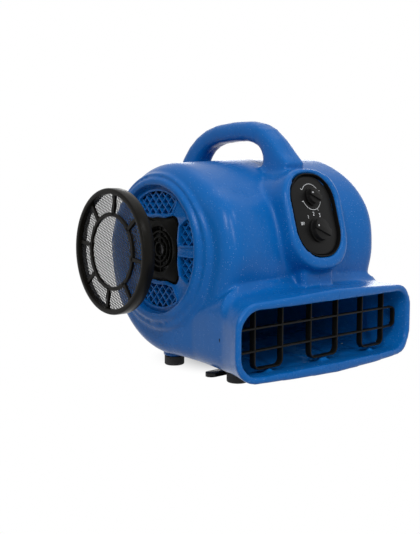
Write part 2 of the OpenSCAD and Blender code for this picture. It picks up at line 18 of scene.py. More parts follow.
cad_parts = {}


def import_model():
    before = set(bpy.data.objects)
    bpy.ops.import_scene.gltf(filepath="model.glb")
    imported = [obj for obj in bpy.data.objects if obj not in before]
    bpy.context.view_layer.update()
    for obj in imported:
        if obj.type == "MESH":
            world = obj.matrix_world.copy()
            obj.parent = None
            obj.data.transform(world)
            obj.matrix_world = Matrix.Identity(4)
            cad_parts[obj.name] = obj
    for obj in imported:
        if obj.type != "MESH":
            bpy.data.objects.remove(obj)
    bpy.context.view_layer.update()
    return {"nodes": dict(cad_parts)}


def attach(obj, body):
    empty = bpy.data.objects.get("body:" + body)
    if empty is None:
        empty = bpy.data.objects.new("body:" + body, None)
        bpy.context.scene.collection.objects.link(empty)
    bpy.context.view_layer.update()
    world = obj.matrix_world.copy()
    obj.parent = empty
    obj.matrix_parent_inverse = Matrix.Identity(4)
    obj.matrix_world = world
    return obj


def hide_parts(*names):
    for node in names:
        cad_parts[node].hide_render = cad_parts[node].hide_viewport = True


BMesh = bmesh.types.BMesh
BMVert = bmesh.types.BMVert
BMEdge = bmesh.types.BMEdge
Node = bpy.types.Node
Object = bpy.types.Object
Socket = bpy.types.NodeSocket
Tree = bpy.types.NodeTree
Point = tuple[float, float]
Points = list[Point]
Triple = tuple[float, float, float]

LOG = logging.getLogger("air_mover")
MM = 0.001
FAN_HEIGHT = 160 * MM
ON_PLANE = 0.02 * MM
LATTICE_BACK = 136 * MM
LATTICE_RADIUS = 73 * MM

GRAIN_SIZE = 1.0 * MM
PEBBLE_DEPTH = 0.7
# Light specks lifted into a colour are painted glints, standing in for light sparkling off the moulded
# grain.
SPECK_SIZE = 1.5 * MM
SPECK_SHARE = 0.26
SPECK_LEAST = 0.12
SPECK_SPREAD = 0.22
SPECK_TINT = (0.35, 0.55, 0.85, 1)
DRIFT_SIZE = 60 * MM


class Body(Enum):
    """The bodies of the frame that pieces ride on."""

    HOUSING = "housing"
    TIMER = "timer"
    SPEED = "speed"
    LEFT_FILTER = "left_filter"
    RIGHT_FILTER = "right_filter"
    STAND = "stand"


class Slot(Enum):
    """The record's material slots, one named with each piece."""

    BLUE = "blue_plastic"
    BLACK = "black_plastic"
    NET = "filter_net"
    STAND = "stand_coat"


class Side(Enum):
    """The two ends of the fan axis, as the sign of X."""

    LEFT = -1
    RIGHT = 1


class NodeGroup(Enum):
    """The shader node groups that the finishes share."""

    GRAIN = "moulded_grain"
    SPECKS = "light_specks"
    DRIFT = "tone_drift"


def new_group(kind: NodeGroup, inputs: dict[str, float], outputs: list[str]) -> Tree:
    """Makes an empty shader node group with a Vector input and named value sockets.

    Args:
        kind: which group it is; its value is the group's name.
        inputs: names of the value inputs with their defaults.
        outputs: names of the value outputs.

    Returns:
        The node tree, with its input and output nodes in place.
    """
    tree = bpy.data.node_groups.new(kind.value, "ShaderNodeTree")
    tree.interface.new_socket("Vector", in_out="INPUT", socket_type="NodeSocketVector")
    for name, default in inputs.items():
        socket = tree.interface.new_socket(name, in_out="INPUT", socket_type="NodeSocketFloat")
        socket.default_value = default
    for name in outputs:
        tree.interface.new_socket(name, in_out="OUTPUT", socket_type="NodeSocketFloat")
    tree.nodes.new("NodeGroupInput").name = "in"
    tree.nodes.new("NodeGroupOutput").name = "out"
    return tree


def math_node(tree: Tree, operation: str, *values: object) -> Socket:
    """Adds a Math node and returns its output.

    Args:
        tree: the tree that the node goes into.
        operation: the Math node's operation.
        values: for each input, a socket to link or a number to set.

    Returns:
        The node's value output.
    """
    node = tree.nodes.new("ShaderNodeMath")
    node.operation = operation
    for socket, value in zip(node.inputs, values):
        if isinstance(value, Socket):
            tree.links.new(value, socket)
        else:
            socket.default_value = value
    return node.outputs[0]


def sized_texture(tree: Tree, kind: str) -> Node:
    """Adds a texture of a kind to a group, and links it to the group's Vector and Size inputs."""
    entry = tree.nodes["in"]
    texture = tree.nodes.new(kind)
    tree.links.new(entry.outputs["Vector"], texture.inputs["Vector"])
    tree.links.new(math_node(tree, "DIVIDE", 1.0, entry.outputs["Size"]), texture.inputs["Scale"])
    return texture


def grain_group() -> Tree:
    """Makes the fine pebbled grain of a moulded surface, as a height that is mostly from 0 to 1."""
    tree = new_group(NodeGroup.GRAIN, {"Size": GRAIN_SIZE}, ["Height"])
    pebbles = sized_texture(tree, "ShaderNodeTexVoronoi")
    pebbles.feature = "SMOOTH_F1"
    pebbles.inputs["Smoothness"].default_value = 0.6
    haze = sized_texture(tree, "ShaderNodeTexNoise")
    haze.inputs["Detail"].default_value = 2.0
    bumps = math_node(tree, "MULTIPLY", pebbles.outputs["Distance"], PEBBLE_DEPTH)
    height = math_node(tree, "ADD", bumps, haze.outputs["Fac"])
    tree.links.new(height, tree.nodes["out"].inputs["Height"])
    return tree


def specks_group() -> Tree:
    """Makes scattered round specks for painted glints, as a mask that is 1 in the middle of a speck."""
    tree = new_group(NodeGroup.SPECKS, {"Size": SPECK_SIZE, "Share": SPECK_SHARE}, ["Mask"])
    cells = sized_texture(tree, "ShaderNodeTexVoronoi")
    parts = tree.nodes.new("ShaderNodeSeparateColor")
    tree.links.new(cells.outputs["Color"], parts.inputs["Color"])
    chosen = math_node(tree, "LESS_THAN", parts.outputs["Red"], tree.nodes["in"].outputs["Share"])
    reach = math_node(tree, "MULTIPLY_ADD", parts.outputs["Green"], SPECK_SPREAD, SPECK_LEAST)
    near = math_node(tree, "DIVIDE", cells.outputs["Distance"], reach)
    fade = math_node(tree, "MAXIMUM", math_node(tree, "SUBTRACT", 1.0, near), 0.0)
    tree.links.new(math_node(tree, "MULTIPLY", chosen, fade), tree.nodes["out"].inputs["Mask"])
    return tree


def drift_group() -> Tree:
    """Makes the slow drift of tone over a moulded surface, as a value round zero."""
    tree = new_group(NodeGroup.DRIFT, {"Size": DRIFT_SIZE}, ["Drift"])
    cloud = sized_texture(tree, "ShaderNodeTexNoise")
    cloud.inputs["Detail"].default_value = 4.0
    cloud.inputs["Roughness"].default_value = 0.6
    drift = math_node(tree, "SUBTRACT", cloud.outputs["Fac"], 0.5)
    tree.links.new(drift, tree.nodes["out"].inputs["Drift"])
    return tree


def shared_group(kind: NodeGroup) -> Tree:
    """Returns a shared node group, and makes it on its first use."""
    makers = {NodeGroup.GRAIN: grain_group, NodeGroup.SPECKS: specks_group, NodeGroup.DRIFT: drift_group}
    return bpy.data.node_groups.get(kind.value) or makers[kind]()


@dataclass(frozen=True)
class Finish:
    """How one material looks.

    Attributes:
        name: the material's name.
        colour: linear base colour.
        roughness: middle roughness.
        grain: depth of the moulded grain in metres.
        grain_size: pitch of that grain in metres.
        drift: how far tone and roughness wander over the surface.
        specks: how far light specks lift the colour, as painted glints of light off the grain, 0 for
            none.
        metallic: metalness of the whole surface.
        specular: specular level of the surface.
    """

    name: str
    colour: Triple
    roughness: float
    grain: float = 0.0
    grain_size: float = GRAIN_SIZE
    drift: float = 0.2
    specks: float = 0.0
    metallic: float = 0.0
    specular: float = 0.5

    def material(self) -> bpy.types.Material:
        """Returns the finish as a material, and makes it on its first use."""
        found = bpy.data.materials.get(self.name)
        if found:
            return found
        made = bpy.data.materials.new(self.name)
        made.use_nodes = True
        tree = made.node_tree
        shader = tree.nodes["Principled BSDF"]
        shader.inputs["Metallic"].default_value = self.metallic
        shader.inputs["Specular IOR Level"].default_value = self.specular
        place = tree.nodes.new("ShaderNodeTexCoord").outputs["Object"]
        self._tone(tree, shader, place)
        if self.grain:
            self._bump(tree, shader, place)
        return made

    def _placed(self, tree: Tree, kind: NodeGroup, place: Socket, size: float) -> Node:
        """Places a shared group that reads the given coordinates at the given size."""
        node = tree.nodes.new("ShaderNodeGroup")
        node.node_tree = shared_group(kind)
        node.inputs["Size"].default_value = size
        tree.links.new(place, node.inputs["Vector"])
        return node

    def _tone(self, tree: Tree, shader: Node, place: Socket) -> None:
        """Links the base colour and the roughness, which both drift over the surface."""
        drift = self._placed(tree, NodeGroup.DRIFT, place, DRIFT_SIZE).outputs["Drift"]
        rough = math_node(tree, "MULTIPLY_ADD", drift, self.drift, self.roughness)
        tree.links.new(rough, shader.inputs["Roughness"])
        shade = tree.nodes.new("ShaderNodeMix")
        shade.data_type = "RGBA"
        shade.inputs["A"].default_value = (*[c * (1 - self.drift) for c in self.colour], 1)
        shade.inputs["B"].default_value = (*[min(1, c * (1 + self.drift)) for c in self.colour], 1)
        tree.links.new(math_node(tree, "ADD", drift, 0.5), shade.inputs["Factor"])
        colour = shade.outputs["Result"]
        # Painted glints: light specks lifted into the base colour.
        if self.specks:
            colour = self._specked(tree, colour, place)
        tree.links.new(colour, shader.inputs["Base Color"])

    def _specked(self, tree: Tree, colour: Socket, place: Socket) -> Socket:
        """Returns the colour with light specks scattered over it, as painted glints of light off the
        moulded grain.
        """
        specks = self._placed(tree, NodeGroup.SPECKS, place, SPECK_SIZE)
        specks.inputs["Share"].default_value = SPECK_SHARE
        lift = tree.nodes.new("ShaderNodeMix")
        lift.data_type = "RGBA"
        amount = math_node(tree, "MULTIPLY", specks.outputs["Mask"], self.specks)
        tree.links.new(amount, lift.inputs["Factor"])
        tree.links.new(colour, lift.inputs["A"])
        lift.inputs["B"].default_value = SPECK_TINT
        return lift.outputs["Result"]

    def _bump(self, tree: Tree, shader: Node, place: Socket) -> None:
        """Links the moulded grain to the surface normal."""
        grain = self._placed(tree, NodeGroup.GRAIN, place, self.grain_size)
        bump = tree.nodes.new("ShaderNodeBump")
        bump.inputs["Distance"].default_value = self.grain
        tree.links.new(grain.outputs["Height"], bump.inputs["Height"])
        tree.links.new(bump.outputs["Normal"], shader.inputs["Normal"])


# The blue carries painted glints: its specks lift the colour towards pale blue.
BLUE = Finish(
    "satin_blue_plastic", (0.002, 0.098, 0.345), 0.27, 0.04 * MM, 0.8 * MM, 0.08, 0.8, specular=0.14)
BLACK = Finish(
    "satin_black_plastic", (0.006, 0.006, 0.006), 0.36, 0.04 * MM, 0.7 * MM, specular=0.10)
GLOSS = Finish(
    "gloss_black_plastic", (0.005, 0.005, 0.005), 0.22, 0.02 * MM, 0.9 * MM, specular=0.2)
FRAME = Finish(
    "filter_black_plastic", (0.0045, 0.004, 0.003), 0.30, 0.04 * MM, 0.8 * MM, 0.25, specular=0.08)
COVER = Finish(
    "cover_black_plastic", (0.0025, 0.0025, 0.002), 0.42, 0.04 * MM, 0.7 * MM, specular=0.05)
GUARD = Finish("guard_coating", (0.005, 0.005, 0.0045), 0.40, 0.02 * MM, 0.6 * MM, specular=0.10)
NET = Finish("dark_net", (0.030, 0.030, 0.030), 0.5, 0.02 * MM, 0.3 * MM, specular=0.3)
RUBBER = Finish("foot_rubber", (0.009, 0.009, 0.011), 0.6, 0.08 * MM, 0.6 * MM, 0.3, specular=0.15)
GREY = Finish("grey_plastic", (0.14, 0.14, 0.15), 0.5, 0.04 * MM, 0.7 * MM)
PALE = Finish("pale_plastic", (0.70, 0.70, 0.67), 0.45, 0.02 * MM, 0.9 * MM, 0.1)
STEEL = Finish("bright_steel", (0.62, 0.63, 0.65), 0.28, 0.01 * MM, 0.5 * MM, 0.15, metallic=1.0)
ENAMEL = Finish("motor_enamel", (0.03, 0.03, 0.032), 0.35, 0.03 * MM, 0.8 * MM)
PRINT = Finish("white_print", (0.60, 0.62, 0.64), 0.5, drift=0.1)

NODES_BY_FINISH: dict[Finish, tuple[str, ...]] = {
    STEEL: ("motor_cover_screws", "motor_bearings", "motor_shaft", "wheel_hub", "hub_screw",
            "timer_shaft", "speed_shaft", "foot_screws", "stand_clip_screws", "housing_screws"),
    BLACK: ("blower_wheel", "left_stand_clip", "right_stand_clip", "cord_gland"),
    RUBBER: ("front_left_foot", "front_right_foot", "rear_left_foot", "rear_right_foot"),
    GREY: ("timer_body", "speed_switch"),
    ENAMEL: ("motor_can",),
    PALE: ("capacitor",),
}


def link_mesh(name: str, bm: BMesh, finish: Finish, crease: float = 40.0) -> Object:
    """Turns a bmesh into a linked, smooth-shaded object at the origin, and frees the bmesh.

    Args:
        name: the piece's name.
        bm: the finished bmesh.
        finish: the finish of its surface.
        crease: edges that turn by more than this many degrees stay sharp.

    Returns:
        The new object.
    """
    mesh = bpy.data.meshes.new(name)
    for face in bm.faces:
        face.smooth = True
    for edge in bm.edges:
        edge.smooth = len(edge.link_faces) == 2 and edge.calc_face_angle(0.0) < math.radians(crease)
    bm.to_mesh(mesh)
    bm.free()
    mesh.materials.append(finish.material())
    piece = bpy.data.objects.new(name, mesh)
    bpy.context.scene.collection.objects.link(piece)
    return piece


def settle(piece: Object, body: Body, slot: Slot, *nodes: str) -> None:
    """Ties a finished piece to its body and the nodes that it stands for.

    Args:
        piece: the piece.
        body: the body that it rides on.
        slot: the record's slot for its finish; not used.
        nodes: the frame's nodes that it replaces.
    """
    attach(piece, body.value)
    if nodes:
        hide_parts(*nodes)
    LOG.info("%s rides on %s, %d faces", piece.name, body.value, len(piece.data.polygons))


def sharp_edges(bm: BMesh, angle: float) -> list[BMEdge]:
    """Returns the edges that turn by more than an angle in degrees."""
    limit = math.radians(angle)
    return [e for e in bm.edges if len(e.link_faces) == 2 and e.calc_face_angle(0.0) > limit]


def round_edges(bm: BMesh, edges: list[BMEdge], width: float, segments: int = 2) -> None:
    """Rounds edges off.

    Args:
        bm: the bmesh that they belong to.
        edges: the edges.
        width: how far the rounding reaches from an edge.
        segments: faces across the rounding.
    """
    bmesh.ops.bevel(
        bm, geom=edges, offset=width, offset_type="OFFSET", affect="EDGES", segments=segments,
        profile=0.5, clamp_overlap=True, material=-1)


def extruded(bm: BMesh, outline: list[BMVert], way: Triple) -> list[BMVert]:
    """Closes an outline with a face, draws that out into a block and returns the far corners."""
    grown = bmesh.ops.extrude_face_region(bm, geom=[bm.faces.new(outline)])["geom"]
    far = [g for g in grown if isinstance(g, BMVert)]
    bmesh.ops.translate(bm, verts=far, vec=way)
    return far


def quarter(x: float, y: float, radius: float, start: float, steps: int) -> Points:
    """Returns a quarter turn round a point, anticlockwise from a start angle in degrees."""
    angles = [math.radians(start + 90 * i / steps) for i in range(steps + 1)]
    return [(x + radius * math.cos(a), y + radius * math.sin(a)) for a in angles]


@dataclass(frozen=True)
class RoundedBox:
    """A rectangle with round corners, centred sideways.

    Attributes:
        half: half its width.
        low: its lower side.
        high: its upper side.
        radius: radius of its corners.
    """

    half: float
    low: float
    high: float
    radius: float

    def points(self, steps: int = 12) -> Points:
        """Returns the outline, with a number of steps to each corner."""
        reach, low, high = self.half - self.radius, self.low + self.radius, self.high - self.radius
        corners = ((reach, low, 270), (reach, high, 0), (-reach, high, 90), (-reach, low, 180))
        return [p for x, y, start in corners for p in quarter(x, y, self.radius, start, steps)]


@dataclass(frozen=True)
class Band:
    """A smooth step over a stretch of values.

    Attributes:
        low: the value up to which the step is 0.
        high: the value from which it is 1.
    """

    low: float
    high: float

    def at(self, value: float) -> float:
        """Returns how far the step has risen at a value."""
        t = min(1.0, max(0.0, (value - self.low) / (self.high - self.low)))
        return t * t * (3 - 2 * t)


@dataclass(frozen=True)
class DrumForm:
    """The form of the drum's ends and of the lip, as the photograph shows them.

    Attributes:
        middle: Y and Z of the line that points are moved away from.
        fall: slope by which the drum's crest falls towards the left end.
        rise: slope by which the front of the drum rises towards the right end.
        fill: how far the front of the drum swells towards its ends.
        drop: how far the lip's lower right hangs down.
        past_inlet: distances from the fan axis between which the moves set in.
        past_pod: Y between which the crest's fall sets in.
        crest: upward shares of the way out between which it does.
        upper: upward shares between which the front's rise sets in.
        forward: forward shares between which it does.
        front: forward shares between which the swelling sets in.
        ends: distances from the parting plane between which it does.
        shoulder: heights between which it does.
        lip_right: X between which the lip's hang sets in.
        lip_front: distances forward between which it does.
        lip_low: heights, with their sign turned, between which it does.
    """

    middle: Point = (-7 * MM, 150 * MM)
    fall: float = 0.075
    rise: float = 0.045
    fill: float = 3.0 * MM
    drop: float = 3.0 * MM
    past_inlet: Band = Band(84 * MM, 122 * MM)
    past_pod: Band = Band(-125 * MM, -95 * MM)
    crest: Band = Band(0.1, 0.75)
    upper: Band = Band(0.0, 0.5)
    forward: Band = Band(-0.2, 0.3)
    front: Band = Band(0.4, 0.9)
    ends: Band = Band(70 * MM, 115 * MM)
    shoulder: Band = Band(125 * MM, 160 * MM)
    lip_right: Band = Band(-20 * MM, 120 * MM)
    lip_front: Band = Band(140 * MM, 170 * MM)
    lip_low: Band = Band(-42 * MM, -18 * MM)

    def moved(self, place: Vector) -> Vector:
        """Returns where a point of the shells lies in this form."""
        out = place - Vector((place.x, *self.middle))
        if out.length < 1 * MM:
            return place
        way = out.normalized()
        clear = self.past_inlet.at(math.hypot(place.y, place.z - FAN_HEIGHT))
        if place.x < 0:
            slope = self.fall * self.crest.at(way.z) * self.past_pod.at(place.y)
        else:
            slope = self.rise * self.upper.at(way.z) * self.forward.at(-way.y)
        place = place + way * place.x * slope * clear
        lip = self.lip_right.at(place.x) * self.lip_front.at(-place.y) * self.lip_low.at(-place.z)
        place = place - Vector((0, 0, self.drop * lip))
        swell = self.ends.at(abs(place.x)) * self.front.at(-way.y) * self.shoulder.at(place.z)
        return place + way * self.fill * swell * clear


@dataclass
class Housing:
    """The two moulded shells, with the soft transitions that a mould gives them.

    Attributes:
        nodes: the frame's node objects.
        form: the form of the drum's ends and of the lip.
        voxel: size of the cells that the shells are remade from.
        passes: how many times the whole surface is smoothed.
        seam: depth of the chamfer along the parting line.
        leg: outline of the web between handle and pod, as Y and Z in millimetres.
        leg_half: half thickness of that web.
        root: lowest and highest corner of the box round that web.
        blend: how many more times the surface is smoothed in that box.
    """

    nodes: dict[str, Object]
    form: DrumForm = DrumForm()
    voxel: float = 2.25 * MM
    passes: int = 4
    seam: float = 0.5 * MM
    leg: tuple[Point, ...] = (
        (-66, 252), (-66, 288), (-60, 301), (-60, 314), (-80, 302), (-97, 287), (-113, 271), (-106, 252))
    leg_half: float = 18 * MM
    root: tuple[Triple, Triple] = ((-34 * MM, -138 * MM, 240 * MM), (34 * MM, -48 * MM, 316 * MM))
    blend: int = 24

    def joined(self) -> BMesh:
        """Returns both shells as one closed surface, without the faces on the parting plane."""
        bm = bmesh.new()
        for name in ("left_housing", "right_housing"):
            bm.from_mesh(self.nodes[name].data)
        bmesh.ops.remove_doubles(bm, verts=bm.verts, dist=0.01 * MM)
        inner = [f for f in bm.faces if all(abs(v.co.x) < ON_PLANE for v in f.verts)]
        bmesh.ops.delete(bm, geom=inner, context="FACES")
        bmesh.ops.remove_doubles(bm, verts=bm.verts, dist=0.05 * MM)
        self.add_leg(bm)
        return bm

    def add_leg(self, bm: BMesh) -> None:
        """Adds the web that widens the handle's front root down to the pod."""
        outline = [bm.verts.new((-self.leg_half, y * MM, z * MM)) for y, z in self.leg]
        far = extruded(bm, outline, (2 * self.leg_half, 0, 0))
        web = {f for v in [*outline, *far] for f in v.link_faces}
        bmesh.ops.recalc_face_normals(bm, faces=list(web))

    def remade(self) -> BMesh:
        """Returns the joined shells as one even, softened surface in the drum's form."""
        rough = link_mesh("shell_source", self.joined(), BLUE)
        remesh = rough.modifiers.new("even", "REMESH")
        remesh.mode = "VOXEL"
        remesh.voxel_size = self.voxel
        shown = rough.evaluated_get(bpy.context.evaluated_depsgraph_get())
        mesh = bpy.data.meshes.new_from_object(shown)
        bm = bmesh.new()
        bm.from_mesh(mesh)
        bpy.data.objects.remove(rough)
        bpy.data.meshes.remove(mesh)
        self.smooth(bm, list(bm.verts), self.passes)
        self.smooth(bm, [v for v in bm.verts if self.at_root(v.co)], self.blend)
        for vert in bm.verts:
            vert.co = self.form.moved(vert.co.copy())
        return bm

    def smooth(self, bm: BMesh, verts: list[BMVert], passes: int) -> None:
        """Evens out the surface at some of its points, a number of times."""
        for _ in range(passes):
            bmesh.ops.smooth_vert(
                bm, verts=verts, factor=0.5, use_axis_x=True, use_axis_y=True, use_axis_z=True)

    def at_root(self, place: Vector) -> bool:
        """Tells whether a point lies where the handle's front leg runs into the drum and the pod."""
        low, high = self.root
        return all(a < p < b for a, p, b in zip(low, place, high))

    def half(self, whole: BMesh, side: Side) -> BMesh:
        """Returns one shell, cut on the parting plane and chamfered along the cut.

        Args:
            whole: both shells in one.
            side: the shell to keep.

        Returns:
            The shell as a closed bmesh.
        """
        bm = whole.copy()
        out = Vector((side.value, 0, 0))
        for offset in (self.seam, 0.0):
            bmesh.ops.bisect_plane(
                bm, geom=[*bm.verts, *bm.edges, *bm.faces], dist=0.01 * MM, plane_co=out * offset,
                plane_no=out, clear_inner=offset == 0.0)
        bm.normal_update()
        rim = [v for v in bm.verts if abs(v.co.x) < ON_PLANE]
        for vert in rim:
            flat = Vector((0, vert.normal.y, vert.normal.z))
            vert.co -= flat.normalized() * self.seam
        edges = [e for e in bm.edges if e.is_boundary]
        bmesh.ops.triangle_fill(bm, edges=edges, use_beauty=True)
        return bm

    def build(self) -> None:
        """Builds both shells in the place of their nodes."""
        whole = self.remade()
        for side, node in ((Side.LEFT, "left_housing"), (Side.RIGHT, "right_housing")):
            piece = link_mesh(f"{side.name.lower()}_shell", self.half(whole, side), BLUE)
            settle(piece, Body.HOUSING, Slot.BLUE, node)
            self.add_slot(side)
        whole.free()

    def add_slot(self, side: Side) -> None:
        """Adds a small black oval on the duct's wall on a side, where a clip of the guard is held:
        painted shade for the opening of its slot.
        """
        bm = bmesh.new()
        place = Matrix.Translation((side.value * 148.6 * MM, -132 * MM, 61 * MM))
        leaning = Matrix.Rotation(math.radians(-8.6 * side.value), 4, "Z")
        shape = Matrix.Diagonal((0.6 * MM, 1.0 * MM, 2.6 * MM, 1))
        # painted shade: a black oval stands for the shadowed opening of the slot
        bmesh.ops.create_uvsphere(
            bm, u_segments=24, v_segments=12, radius=1.0, matrix=place @ leaning @ shape)
        settle(link_mesh(f"{side.name.lower()}_guard_slot", bm, COVER), Body.HOUSING, Slot.BLACK)


@dataclass
class Softened:
    """Nodes' own solids, with their sharp edges rounded as a mould leaves them.

    Attributes:
        nodes: the frame's node objects.
        body: the body that the pieces ride on.
        slot: the record's slot for their finish.
        finish: how they look.
        width: how far the rounding reaches from an edge.
        fit: a matrix that draws the solids in before their edges are rounded.
        slim: how far the surface is drawn in along its normals.
        deepen: how far the back of a grille's lattice is drawn towards the fan.
    """

    nodes: dict[str, Object]
    body: Body
    slot: Slot
    finish: Finish
    width: float = 0.4 * MM
    fit: Matrix | None = None
    slim: float = 0.0
    deepen: float = 0.0

    def build(self, *names: str) -> None:
        """Builds a rounded piece in the place of each named node."""
        for name in names:
            bm = bmesh.new()
            bm.from_mesh(self.nodes[name].data)
            bmesh.ops.remove_doubles(bm, verts=bm.verts, dist=0.02 * MM)
            bmesh.ops.dissolve_limit(bm, angle_limit=math.radians(1.0), verts=bm.verts, edges=bm.edges)
            self.reshape(bm)
            round_edges(bm, sharp_edges(bm, angle=35), self.width)
            settle(link_mesh(f"{name}_piece", bm, self.finish), self.body, self.slot, name)

    def reshape(self, bm: BMesh) -> None:
        """Slims the solid, deepens its lattice and brings it to its fit, where these are set."""
        if self.slim:
            bm.normal_update()
            for vert, way in [(v, v.normal.copy()) for v in bm.verts]:
                vert.co -= way * self.slim
        if self.deepen:
            for vert in [v for v in bm.verts if self.at_back(v.co)]:
                vert.co.x -= math.copysign(self.deepen, vert.co.x)
        if self.fit is not None:
            bmesh.ops.transform(bm, matrix=self.fit, verts=bm.verts)

    def at_back(self, place: Vector) -> bool:
        """Tells whether a point of a grille lies on its back, inside the rim."""
        radius = math.hypot(place.y, place.z - FAN_HEIGHT)
        return abs(place.x) < LATTICE_BACK and radius < LATTICE_RADIUS


def turn(bm: BMesh, profile: Points, centre: Vector, axis: Vector) -> None:
    """Spins a closed profile once round an axis along X.

    Args:
        bm: the bmesh that takes the ring.
        profile: corners as radius and distance along the axis.
        centre: where the axis starts.
        axis: its direction, along X.
    """
    verts = [bm.verts.new(centre + axis * h + Vector((0, 0, r))) for r, h in profile]
    edges = [bm.edges.new((a, b)) for a, b in zip(verts, [*verts[1:], verts[0]])]
    bmesh.ops.spin(
        bm, geom=[*verts, *edges], cent=centre, axis=axis, angle=2 * math.pi, steps=96, use_merge=True)


def bar(bm: BMesh, start: Vector, end: Vector, width: Vector, depth: Vector) -> None:
    """Adds a straight bar of rectangular section.

    Args:
        bm: the bmesh that takes the bar.
        start: middle of one end.
        end: middle of the other end.
        width: the bar's full width, as a vector.
        depth: the bar's full depth, as a vector.
    """
    made = bmesh.ops.create_cube(bm, size=1.0)["verts"]
    along = end - start
    middle = (start + end) / 2
    for vert in made:
        x, y, z = vert.co
        vert.co = middle + along * x + width * y + depth * z


@dataclass
class Guard:
    """The outlet guard: three loops that hang from the mouth's ceiling, crossed by one long loop.

    Attributes:
        front: place of the guard's front edges.
        wire: width of a bar seen from the front.
        deep: depth of an upright bar.
        low: height of the loops' lower ends.
        high: height up to which the uprights run.
        rows: heights of the long loop's bars.
        half: half length of the long loop.
        pairs: places of the uprights, loop by loop, in millimetres.
        steps: steps to each corner.
    """

    front: float = -163.5 * MM
    wire: float = 2.2 * MM
    deep: float = 8.5 * MM
    low: float = 27 * MM
    high: float = 104 * MM
    rows: Point = (49 * MM, 75.7 * MM)
    half: float = 148 * MM
    pairs: tuple[Point, ...] = ((-121.8, -76.0), (-25.3, 25.3), (76.0, 121.8))
    steps: int = 6

    def build(self) -> None:
        """Builds the guard in the place of its node."""
        bm = bmesh.new()
        for left, right in self.pairs:
            self.ribbon(bm, self.hanging(left * MM, right * MM, radius=8 * MM), self.deep, closed=False)
        loop = RoundedBox(self.half, *self.rows, radius=7 * MM)
        self.ribbon(bm, loop.points(self.steps), deep=self.deep * 0.8, closed=True)
        bmesh.ops.recalc_face_normals(bm, faces=bm.faces)
        round_edges(bm, sharp_edges(bm, angle=60), width=0.6 * MM)
        settle(link_mesh("guard_bars", bm, GUARD), Body.HOUSING, Slot.BLACK, "outlet_guard")

    def hanging(self, left: float, right: float, radius: float) -> Points:
        """Returns the path of a loop that is open at its top."""
        level = self.low + radius
        return [(left, self.high), *quarter(left + radius, level, radius, 180, self.steps),
                *quarter(right - radius, level, radius, 270, self.steps), (right, self.high)]

    def ribbon(self, bm: BMesh, path: Points, deep: float, closed: bool) -> None:
        """Sweeps the bar's section along a path of X and Z.

        Args:
            bm: the bmesh that takes the bar.
            path: the middle line.
            deep: depth of the section along Y.
            closed: whether the path runs back to its start.
        """
        count = len(path)
        sections = []
        for i, (x, z) in enumerate(path):
            before = path[i - 1] if closed or i else path[0]
            after = path[(i + 1) % count] if closed or i + 1 < count else path[-1]
            along = Vector((after[0] - before[0], 0, after[1] - before[1])).normalized()
            side = Vector((-along.z, 0, along.x)) * self.wire / 2
            spot, back = Vector((x, self.front, z)), Vector((0, deep, 0))
            corners = (spot - side, spot + side, spot + side + back, spot - side + back)
            sections.append([bm.verts.new(c) for c in corners])
        for i in range(count if closed else count - 1):
            here, there = sections[i], sections[(i + 1) % count]
            for j in range(4):
                k = (j + 1) % 4
                bm.faces.new((here[j], here[k], there[k], there[j]))
        if not closed:
            bm.faces.new(sections[0])
            bm.faces.new(sections[-1])


